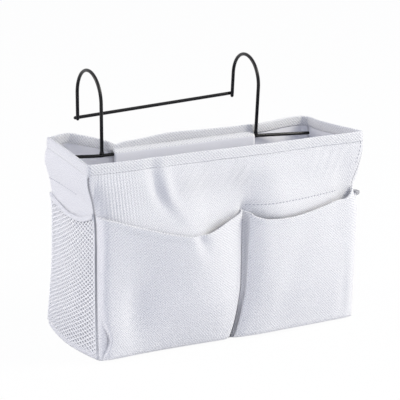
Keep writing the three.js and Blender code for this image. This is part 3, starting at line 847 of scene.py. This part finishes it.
low_dent, low_dent_across, low_dent_up = 4.3 * mm, (-115 * mm, 13 * mm), (54 * mm, 26 * mm)
lip_dent, lip_dent_half_width, lip_dent_run = 4.8 * mm, 5 * mm, (-3 * mm, 15 * mm)
lip_dent_x, lip_dent_z = -45 * mm, 121.5 * mm
lip_dent_level, lip_dent_steep = 0.53, 0.85


def left_creases(x, z):
    """Dents of the left pocket: one broad and low on the face, one short below the mouth."""
    run = (x - lip_dent_x) * lip_dent_level - (z - lip_dent_z) * lip_dent_steep
    aside = (x - lip_dent_x) * lip_dent_steep + (z - lip_dent_z) * lip_dent_level
    low = low_dent * hump(x, *low_dent_across) * hump(z, *low_dent_up)
    return -low - lip_dent * hump(aside, 0, lip_dent_half_width) * hump(run, *lip_dent_run)


hollow, hollow_across, hollow_up = 1.6 * mm, (72 * mm, 16 * mm), (70 * mm, 45 * mm)
hollow_lean, hollow_level = 0.25, 80 * mm
side_dent, side_dent_across, side_dent_up = 1.6 * mm, (139 * mm, 6 * mm), (34 * mm, 24 * mm)


def right_creases(x, z):
    """Dents of the right pocket: a shallow hollow down its middle, and one low by its right side."""
    middle = hollow * hump(x - hollow_lean * (z - hollow_level), *hollow_across) * hump(z, *hollow_up)
    return -middle - side_dent * hump(x, *side_dent_across) * hump(z, *side_dent_up)


seam_inset = 1.2 * mm
seam_half_gap = 0.8 * mm
side_pleat = (
    (0, 0), (0.2, 0.16), (0.4, 0.34), (0.7, 0.54), (1.2, 0.73), (2.0, 0.87), (3.4, 0.95), (6.0, 1.0))
floor_tuck = (
    (0, 0), (1.5, 0.42), (4.5, 0.62), (7.3, 0.4), (9.0, 0.06), (9.8, 0.5), (9.5, 0.93), (11.0, 1.0))
left_depths = (
    through(
        (0, 6), (0.08, 8.5), (0.15, 8), (0.3, 5), (0.44, 3.8), (0.65, 4.6), (0.79, 6), (0.9, 7.5),
        (0.97, 6), (1, 0)),
    through(
        (0, 12.5), (0.05, 13.5), (0.12, 13), (0.2, 11.8), (0.27, 11.8), (0.4, 15), (0.52, 17.5),
        (0.7, 18.5), (0.85, 15), (0.94, 9), (0.985, 5), (1, 0)),
    through(
        (0, 14), (0.04, 15.5), (0.177, 18.5), (0.34, 22), (0.503, 25.5), (0.6, 27), (0.674, 26),
        (0.805, 18.5), (0.9, 11.5), (0.97, 7), (0.99, 4.5), (1, 0)))
left_pocket, _ = front_pocket(
    "left_patch_pocket", lambda z: front_left(z / panel_top)[..., 0] + seam_inset,
    lambda z: centre_seam(z) - seam_half_gap, left_mouth, left_depths, side_pleat, floor_tuck, left_creases)
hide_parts("left_front_pocket")

right_overlap = 0.6 * mm
bellows_pleat = (
    (0, 0), (2.0, 0.06), (3.2, 0.25), (3.4, 0.5), (2.9, 0.78), (2.7, 0.92), (3.4, 0.98), (6.0, 1.0))
right_depths = (
    through(
        (0, 3.5), (0.03, 6.5), (0.065, 9), (0.12, 10.3), (0.25, 11), (0.39, 10), (0.53, 9.4), (0.7, 8),
        (0.85, 6.5), (0.95, 4.5), (1, 0)),
    through(
        (0, 6), (0.04, 10), (0.1, 14.2), (0.18, 16.3), (0.35, 16), (0.6, 13), (0.85, 9), (0.95, 6), (1, 0)),
    through(
        (0, 13.5), (0.05, 16), (0.126, 19), (0.245, 19), (0.404, 17), (0.6, 13), (0.714, 10.5),
        (0.81, 8.5), (0.9, 7.5), (0.95, 6), (0.985, 3), (1, 0)))
right_pocket, right_pocket_points = front_pocket(
    "right_patch_pocket", lambda z: centre_seam(z) + seam_half_gap,
    lambda z: front_right(z / panel_top)[..., 0] + right_overlap, right_mouth, right_depths,
    bellows_pleat, bellows_pleat, right_creases)
# Painted shade deep in the right pocket's pleat, on its first columns, darkest near the floor.
tuck_columns, tuck_shade = 14, 0.5
tuck_shade_top, tuck_shade_run = 60 * mm, 42 * mm
tuck_height = right_pocket_points[:tuck_columns, :, 2]
pocket_painted_shade = np.zeros(right_pocket_points.shape[:2])
pocket_painted_shade[:tuck_columns] = tuck_shade * smooth((tuck_shade_top - tuck_height) / tuck_shade_run)
paint(right_pocket, "painted_shade", pocket_painted_shade)
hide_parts("right_front_pocket")

# Net pockets
# A pocket of white knitted net on each end of the bag, sewn in at the corner seams and the floor.
# Its diamonds are twisted strands, drawn coarser than real ones so that they show, with an edge
# strand along each seam, and light falls through to the canvas behind.
net_stand = 1.5 * mm
net_swell, mouth_swell = 2 * mm, 0.5
net_round = 40 * mm
net_inset, net_inset_at = 0.4 * mm, 0.6
net_foot = 7.5 * mm
net_width, net_height = 118 * mm, 146 * mm
flare_across, flare_from = (0.08, 0.06), 0.88
diamond_wide, diamond_tall = 8.8 * mm, 4.8 * mm
strand_radius, strand_sides = 0.62 * mm, 5
net_yarn = woven_cloth(
    "knitted_polyester_net", "#FFFFFF", "#EAEAEE", "#FCFCFC",
    pitch=1.6 * mm, relief=0.03 * mm, twill=0.5, contrast=0.2)


def net_surface(wall, mouth_of, flare, u, z_share):
    """A net pocket's place, and its outward direction, off the end wall that it is sewn to. The
    flare is how far the mouth's front end stands out."""
    near, far = wall(np.array([0.0, 1.0]), np.full(2, net_inset_at))
    inset = net_inset / np.linalg.norm(far - near)
    across = lerp(inset, 1 - inset, u)
    z = lerp(net_foot, mouth_of(u), z_share)
    v = z / panel_top
    step = 1e-3
    normal = unit(np.cross(
        wall(across + step, v) - wall(across - step, v), wall(across, v + step) - wall(across, v - step)))
    risen = np.sin(np.pi / 2 * np.minimum((z - net_foot) / net_round, 1))
    full = net_swell * np.sin(np.pi * u) * risen * lerp(1.0, mouth_swell, z_share ** 2)
    full = full + flare * hump(u, *flare_across) * smooth((z_share - flare_from) / (1 - flare_from))
    return wall(across, v) + normal * (net_stand + full)[..., None], normal


def open_tree(name, inputs):
    """A Geometry Nodes tree with geometry in and out and named inputs, and the sockets of those."""
    tree = bpy.data.node_groups.new(name, "GeometryNodeTree")
    for label, kind in {"Geometry": "Geometry", **inputs}.items():
        tree.interface.new_socket(label, in_out="INPUT", socket_type="NodeSocket" + kind)
    tree.interface.new_socket("Geometry", in_out="OUTPUT", socket_type="NodeSocketGeometry")
    return tree, add_node(tree, "NodeGroupInput").outputs


def close_tree(tree, made, material):
    """Makes a tree's instances real, gives them their material and hands them out."""
    real = add_node(tree, "GeometryNodeRealizeInstances", {"Geometry": made})
    dressed = add_node(tree, "GeometryNodeSetMaterial", {"Geometry": real.outputs[0], "Material": material})
    add_node(tree, "NodeGroupOutput", {"Geometry": dressed.outputs[0]})


def grow(piece, tree, inputs):
    """Runs a Geometry Nodes tree on a piece and leaves the result as its plain mesh, with no modifier."""
    modifier = piece.modifiers.new(tree.name, "NODES")
    modifier.node_group = tree
    for item in tree.interface.items_tree:
        if item.in_out == "INPUT" and item.name in inputs:
            modifier[item.identifier] = inputs[item.name]
    graph = bpy.context.evaluated_depsgraph_get()
    mesh = bpy.data.meshes.new_from_object(piece.evaluated_get(graph), depsgraph=graph)
    piece.modifiers.clear()
    mesh.shade_smooth()
    piece.data = mesh


# Round strands along the edges of a net.
net_tree, given = open_tree(
    "net_strands", {"Strand Radius": "Float", "Strand Sides": "Int", "Yarn": "Material"})
net_lines = add_node(net_tree, "GeometryNodeMeshToCurve", {"Mesh": given["Geometry"]})
strand_section = add_node(net_tree, "GeometryNodeCurvePrimitiveCircle", {
    "Resolution": given["Strand Sides"], "Radius": given["Strand Radius"]})
strands = add_node(net_tree, "GeometryNodeCurveToMesh", {
    "Curve": net_lines.outputs["Curve"], "Profile Curve": strand_section.outputs["Curve"], "Fill Caps": True})
close_tree(net_tree, strands.outputs["Mesh"], given["Yarn"])


def net_pocket(name, wall, mouth_of, flare):
    """A net pocket: rows of knots half a diamond apart, each tied to the two above it, with an edge
    strand along each corner seam."""
    columns = round(net_width / diamond_wide)
    lines = round(2 * net_height / diamond_tall)
    i, j = np.meshgrid(np.arange(columns + 1), np.arange(lines + 1), indexing="ij")
    u = np.clip((i + 0.5 * (j % 2)) / (columns + 0.5), 0, 1)
    places, _ = net_surface(wall, mouth_of, flare, u, j / lines)
    knot = (i * (lines + 1) + j).tolist()
    edges = []
    for a in range(columns + 1):
        for b in range(lines):
            aside = a + 1 if b % 2 else a - 1
            edges.append((knot[a][b], knot[a][b + 1]))
            if 0 <= aside <= columns:
                edges.append((knot[a][b], knot[aside][b + 1]))
    edges += [(knot[0][b], knot[0][b + 2]) for b in range(0, lines - 1, 2)]
    edges += [(knot[-1][b], knot[-1][b + 2]) for b in range(1, lines - 1, 2)]
    net = mesh_piece(name, ruffled(places), edges, [])
    grow(net, net_tree, {"Strand Radius": strand_radius, "Strand Sides": strand_sides, "Yarn": net_yarn})
    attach(net, "bag")
    return net


left_net_mouth = through((0, 154), (0.2, 148), (0.4, 145), (0.6, 145.5), (0.8, 150), (1, 159))
left_net_flare = 0.0
left_net = net_pocket("left_net_pocket", left_wall, left_net_mouth, left_net_flare)
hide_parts("left_mesh_pocket")
right_net_mouth = through((0, 145), (0.08, 142.5), (0.3, 140.5), (0.6, 140), (1, 150))
right_net_flare = 7 * mm
right_net = net_pocket("right_net_pocket", right_wall, right_net_mouth, right_net_flare)
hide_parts("right_mesh_pocket")

# Net bindings
# A strip of canvas folded over each net's mouth and sewn through, so that the net has a smooth
# edge. It hangs in a shallow curve between the corner seams.
binding_cloth = 0.6 * mm
binding_clearance = 0.1 * mm
binding_stand = strand_radius + binding_cloth / 2 + binding_clearance
binding_height, mouth_height = 4 * mm, 150 * mm
binding_columns, binding_rows = 60, 6
binding_turn = (45, 90, 135)
binding_shade_across = (0.05, 0.08)


def net_binding(name, wall, mouth_of, flare, shade):
    """A folded strip along a net's mouth, with painted shade near its front end, where the mouth flares out.
    """
    u = np.linspace(0, 1, binding_columns)
    z_shares = np.linspace(1 - binding_height / mouth_height, 1, binding_rows)
    places, normals = net_surface(wall, mouth_of, flare, *np.meshgrid(u, z_shares, indexing="ij"))
    strip = folded_over(ruffled(places), normals, [binding_stand] * binding_rows, binding_turn)
    binding = cloth_piece(name, strip, *grid_faces(strip), canvas)
    paint(binding, "painted_shade", np.repeat(shade * hump(u, *binding_shade_across), strip.shape[1]))
    thicken(binding, binding_cloth)
    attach(binding, "bag")
    return binding


# Only the right binding, whose front end flares out, gets painted shade there.
left_binding = net_binding("left_net_binding", left_wall, left_net_mouth, left_net_flare, shade=0.0)
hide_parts("left_mesh_binding")
right_binding = net_binding("right_net_binding", right_wall, right_net_mouth, right_net_flare, shade=0.6)
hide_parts("right_mesh_binding")

# Seam stitching
# White thread in a plain lock stitch round the foot of the hem. More stitches run across the front
# above the right pocket, beside the front right corner, along the fold of the left end and where the
# pockets meet; their white thread is drawn grey, as painted shade where it sinks into the cloth.
# They are drawn longer than real ones so that they show.
stitch_pitch = 4.2 * mm
stitch_length = 2.9 * mm
hem_stitch_radius, hem_stitch_sunk = 0.22 * mm, 0.1 * mm
seam_stitch_radius = 0.45 * mm
hem_line = 1
hem_seam = hem_points[:, hem_line] + hem_normals[:, hem_line] * (hem_cloth / 2 - hem_stitch_sunk)
above_mouth = (16 * mm, 127 * mm)
pocket_tack = (141 * mm, 149 * mm)
left_fold, left_fold_height, left_fold_points = (47 * mm, -24 * mm), 169.5 * mm, 40
corner_run, corner_inset = (178 * mm, 199 * mm), 4 * mm


def front_line(x, z):
    """A sewn line on the front wall, through places given by x and height."""
    x, z = np.broadcast_arrays(x, z)
    return ruffled(np.stack([x, front_surface(x, z) - half_panel, z], -1))


def left_line(y_start, y_end, height):
    """A sewn line across the left end, given by where it starts and ends in depth and its height."""
    v = np.full(left_fold_points, height / panel_top)
    back, front = left_wall(np.array([0.0, 1.0]), v[:2])[:, 1]
    line = left_wall((np.linspace(y_start, y_end, left_fold_points) - back) / (front - back), v)
    line[:, 0] -= half_panel
    return ruffled(line)


corner_rise = np.linspace(*corner_run, 20)
seams = [
    front_line(np.linspace(*above_mouth, 60), sewn_height),
    front_line(pockets_meet, np.linspace(*pocket_tack, 8)),
    left_line(*left_fold, left_fold_height),
    front_line(front_right(corner_rise / panel_top)[..., 0] - corner_inset, corner_rise)]

# One rounded stitch at each step along sewn lines.
stitch_tree, given = open_tree("lock_stitches", {
    "Stitch Pitch": "Float", "Stitch Length": "Float", "Stitch Radius": "Float", "Thread": "Material"})
sewn_lines = add_node(stitch_tree, "GeometryNodeMeshToCurve", {"Mesh": given["Geometry"]})
stitch_places = add_node(stitch_tree, "GeometryNodeResampleCurve", {
    "Curve": sewn_lines.outputs["Curve"], "Length": given["Stitch Pitch"]}, mode="LENGTH")
ball = add_node(stitch_tree, "GeometryNodeMeshUVSphere", {"Segments": 8, "Rings": 5, "Radius": 1.0})
half_stitch = add_node(
    stitch_tree, "ShaderNodeMath", {0: given["Stitch Length"], 1: 0.5}, operation="MULTIPLY")
stitch_shape = add_node(stitch_tree, "ShaderNodeCombineXYZ", {
    "X": half_stitch.outputs[0], "Y": given["Stitch Radius"], "Z": given["Stitch Radius"]})
tangent = add_node(stitch_tree, "GeometryNodeInputTangent")
along_line = add_node(
    stitch_tree, "FunctionNodeAlignRotationToVector", {"Vector": tangent.outputs[0]}, axis="X")
laid = add_node(stitch_tree, "GeometryNodeInstanceOnPoints", {
    "Points": stitch_places.outputs["Curve"], "Instance": ball.outputs["Mesh"],
    "Rotation": along_line.outputs[0], "Scale": stitch_shape.outputs[0]})
close_tree(stitch_tree, laid.outputs[0], given["Thread"])


def sew(name, lines, radius, tone, gap, shade):
    """Stitches along sewn lines, in twisted thread of one tone."""
    thread = woven_cloth(
        name + "_polyester_thread", tone, gap, shade,
        pitch=1.0 * mm, relief=0.02 * mm, twill=0.9, contrast=0.2)
    starts = np.cumsum([0] + [len(line) for line in lines])
    edges = [(a + k, a + k + 1) for a, line in zip(starts, lines) for k in range(len(line) - 1)]
    stitching = mesh_piece(name + "_stitching", np.concatenate(lines), edges, [])
    grow(stitching, stitch_tree, {
        "Stitch Pitch": stitch_pitch, "Stitch Length": stitch_length, "Stitch Radius": radius,
        "Thread": thread})
    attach(stitching, "bag")


sew("hem", [np.concatenate([hem_seam, hem_seam[:1]])], hem_stitch_radius, "#FFFFFF", "#F0F0F3", "#FCFCFC")
# The seam stitches' grey is painted shade: their real thread is white.
sew("seam", seams, seam_stitch_radius, "#B4B4BD", "#9C9CA6", "#ACACB6")

# Wire hanger
# Two hooks of black powder-coated steel wire welded to a lower rod, which turns in the sleeve, and
# to a bar across the ends of their tails. The coat is thick and half glossy and rounds the welds.
wire_radius = 1.9 * mm
wire_sides = 16
dome_angles = (78, 55, 30, 0)
any_side = (0.31, 0.62, 0.72)
coat_specular = 0.26

# Powder coat: a fine soft grain that breaks up its highlights, drawn coarser than the real one.
powder_coat, powder_grain = grained(
    "black_powder_coated_steel_wire", grain=1.1 * mm, detail=3.0, dark_hex="#09090C", light_hex="#141318",
    strength=0.35, relief=0.04 * mm)
coat_tree = powder_coat.node_tree
coat_rough = add_node(coat_tree, "ShaderNodeMapRange", {
    "Value": powder_grain, "To Min": 0.12, "To Max": 0.3})
fill_inputs(coat_tree, coat_tree.nodes["Principled BSDF"], {
    "Specular IOR Level": coat_specular, "Roughness": coat_rough.outputs[0]})


def wire_piece(name, path, radii, node):
    """A round wire along a path, with domed ends, that stands for its node."""
    path, radii = np.array(path, float), np.array(radii, float)
    domes = []
    for tip, beyond, radius in ((path[0], path[1], radii[0]), (path[-1], path[-2], radii[-1])):
        inward = unit(beyond - tip) * radius
        domes.append([
            (*(tip + inward * (1 - math.sin(a))), radius * math.cos(a)) for a in np.radians(dome_angles)])
    rings = np.concatenate([domes[0], np.column_stack([path, radii])[1:-1], domes[1][::-1]])
    places, widths = rings[:, :3], rings[:, 3:]
    tangents = unit(np.gradient(places, axis=0))
    sides = [np.cross(tangents[0], any_side)]
    for tangent in tangents:
        sides.append(unit(sides[-1] - tangent * sides[-1].dot(tangent)))
    sides = np.array(sides[1:])
    angles = np.linspace(0, 2 * np.pi, wire_sides, endpoint=False)[:, None, None]
    tube = places + (sides * np.cos(angles) + np.cross(tangents, sides) * np.sin(angles)) * widths
    starts = np.arange(wire_sides) * len(places)
    caps = [starts[::-1].tolist(), (starts + len(places) - 1).tolist()]
    piece = mesh_piece(name, tube, [], grid_faces(tube, closed=True)[0].tolist() + caps)
    piece.data.materials.append(powder_coat)
    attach(piece, "hanger")
    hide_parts(node)


def turned(y, z, twist):
    """A point of a hook's plane, turned about the rod, as depth and height in the bag's frame."""
    return (
        rod_axis.y + y * math.cos(twist) - z * math.sin(twist),
        rod_axis.z + y * math.sin(twist) + z * math.cos(twist))


weld_heights = (0.4 * mm, 2.4 * mm, 3.4 * mm, 5.2 * mm, 7.0 * mm)
weld_radii = (2.6 * mm, 2.6 * mm, 2.3 * mm, 1.9 * mm)
arch_steps = 32
tail_straight = 12 * mm


def hook(name, node, x, width, rise, tail, twist):
    """Leg, arch and tail of one hook, with the leg's foot spread into its weld on the rod."""
    reach = width / 2
    crown = rise - reach
    outline = [(0, height) for height in (*weld_heights, crown / 2)]
    outline += [(reach - reach * math.cos(a), crown + reach * math.sin(a))
                for a in np.linspace(0, np.pi, arch_steps + 1)]
    outline += [(width, crown - tail_straight), (width, rise - tail)]
    radii = [*weld_radii] + [wire_radius] * (len(outline) - len(weld_radii))
    wire_piece(name, [(x, *turned(y, z, twist)) for y, z in outline], radii, node)


hook_half_spacing = 92.9 * mm
left_x, right_x = rod_axis.x - hook_half_spacing, rod_axis.x + hook_half_spacing
left_width, right_width = 61.0 * mm, 57.5 * mm
hook_twist = math.radians(5.5)
hook("left_wire_hook", "left_hook", left_x, left_width, rise=85.8 * mm, tail=60.8 * mm, twist=0.0)
hook("right_wire_hook", "right_hook", right_x, right_width, rise=84.3 * mm, tail=57.3 * mm, twist=hook_twist)

crossbar_gap = 3.8 * mm
bar_rings = 12
left_bar_rise, right_bar_rise = 27.3 * mm, 30.8 * mm
bar_low, bar_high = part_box("rear_crossbar")
bar_left = (bar_low.x, *turned(left_width + crossbar_gap, left_bar_rise, 0.0))
bar_right = (bar_high.x, *turned(right_width + crossbar_gap, right_bar_rise, hook_twist))
bar_path = np.linspace(bar_left, bar_right, bar_rings)
wire_piece("rear_wire_crossbar", bar_path, [wire_radius] * len(bar_path), "rear_crossbar")

# The rod runs from its right end, which sags, through the sleeve to its knee and the foot that
# reaches for the bag's back left corner.
rod_bend = 5 * mm
right_sag = 4.5 * mm
foot_short, foot_sag = 5 * mm, 2.5 * mm
foot_in_corner = 0.83
knee, knee_rings = 6 * mm, 9
rod_low, rod_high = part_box("lower_rod")
rod_middle = np.array(rod_axis)
right_end = np.array((rod_high.x + right_sag, rod_axis.y, rod_axis.z - right_sag))
right_bend = np.array((right_x + rod_bend, rod_axis.y, rod_axis.z))
right_straight = np.array((right_x - rod_bend, rod_axis.y, rod_axis.z))
left_bend = np.array((left_x - rod_bend, rod_axis.y, rod_axis.z))
foot_end = np.array((
    rod_low.x + foot_short, rod_high.y - foot_in_corner * wire_radius, rod_axis.z - foot_sag))
knee_start = left_bend + np.array((knee, 0, 0))
knee_end = left_bend + unit(foot_end - left_bend) * knee
knee_path = [
    lerp(lerp(knee_start, left_bend, t), lerp(left_bend, knee_end, t), t)
    for t in np.linspace(0, 1, knee_rings)]
rod_path = [
    right_end, lerp(right_end, right_bend, 0.5), right_bend, right_straight, rod_middle,
    *knee_path, lerp(left_bend, foot_end, 0.6), foot_end]
wire_piece("lower_wire_rod", rod_path, [wire_radius] * len(rod_path), "lower_rod")
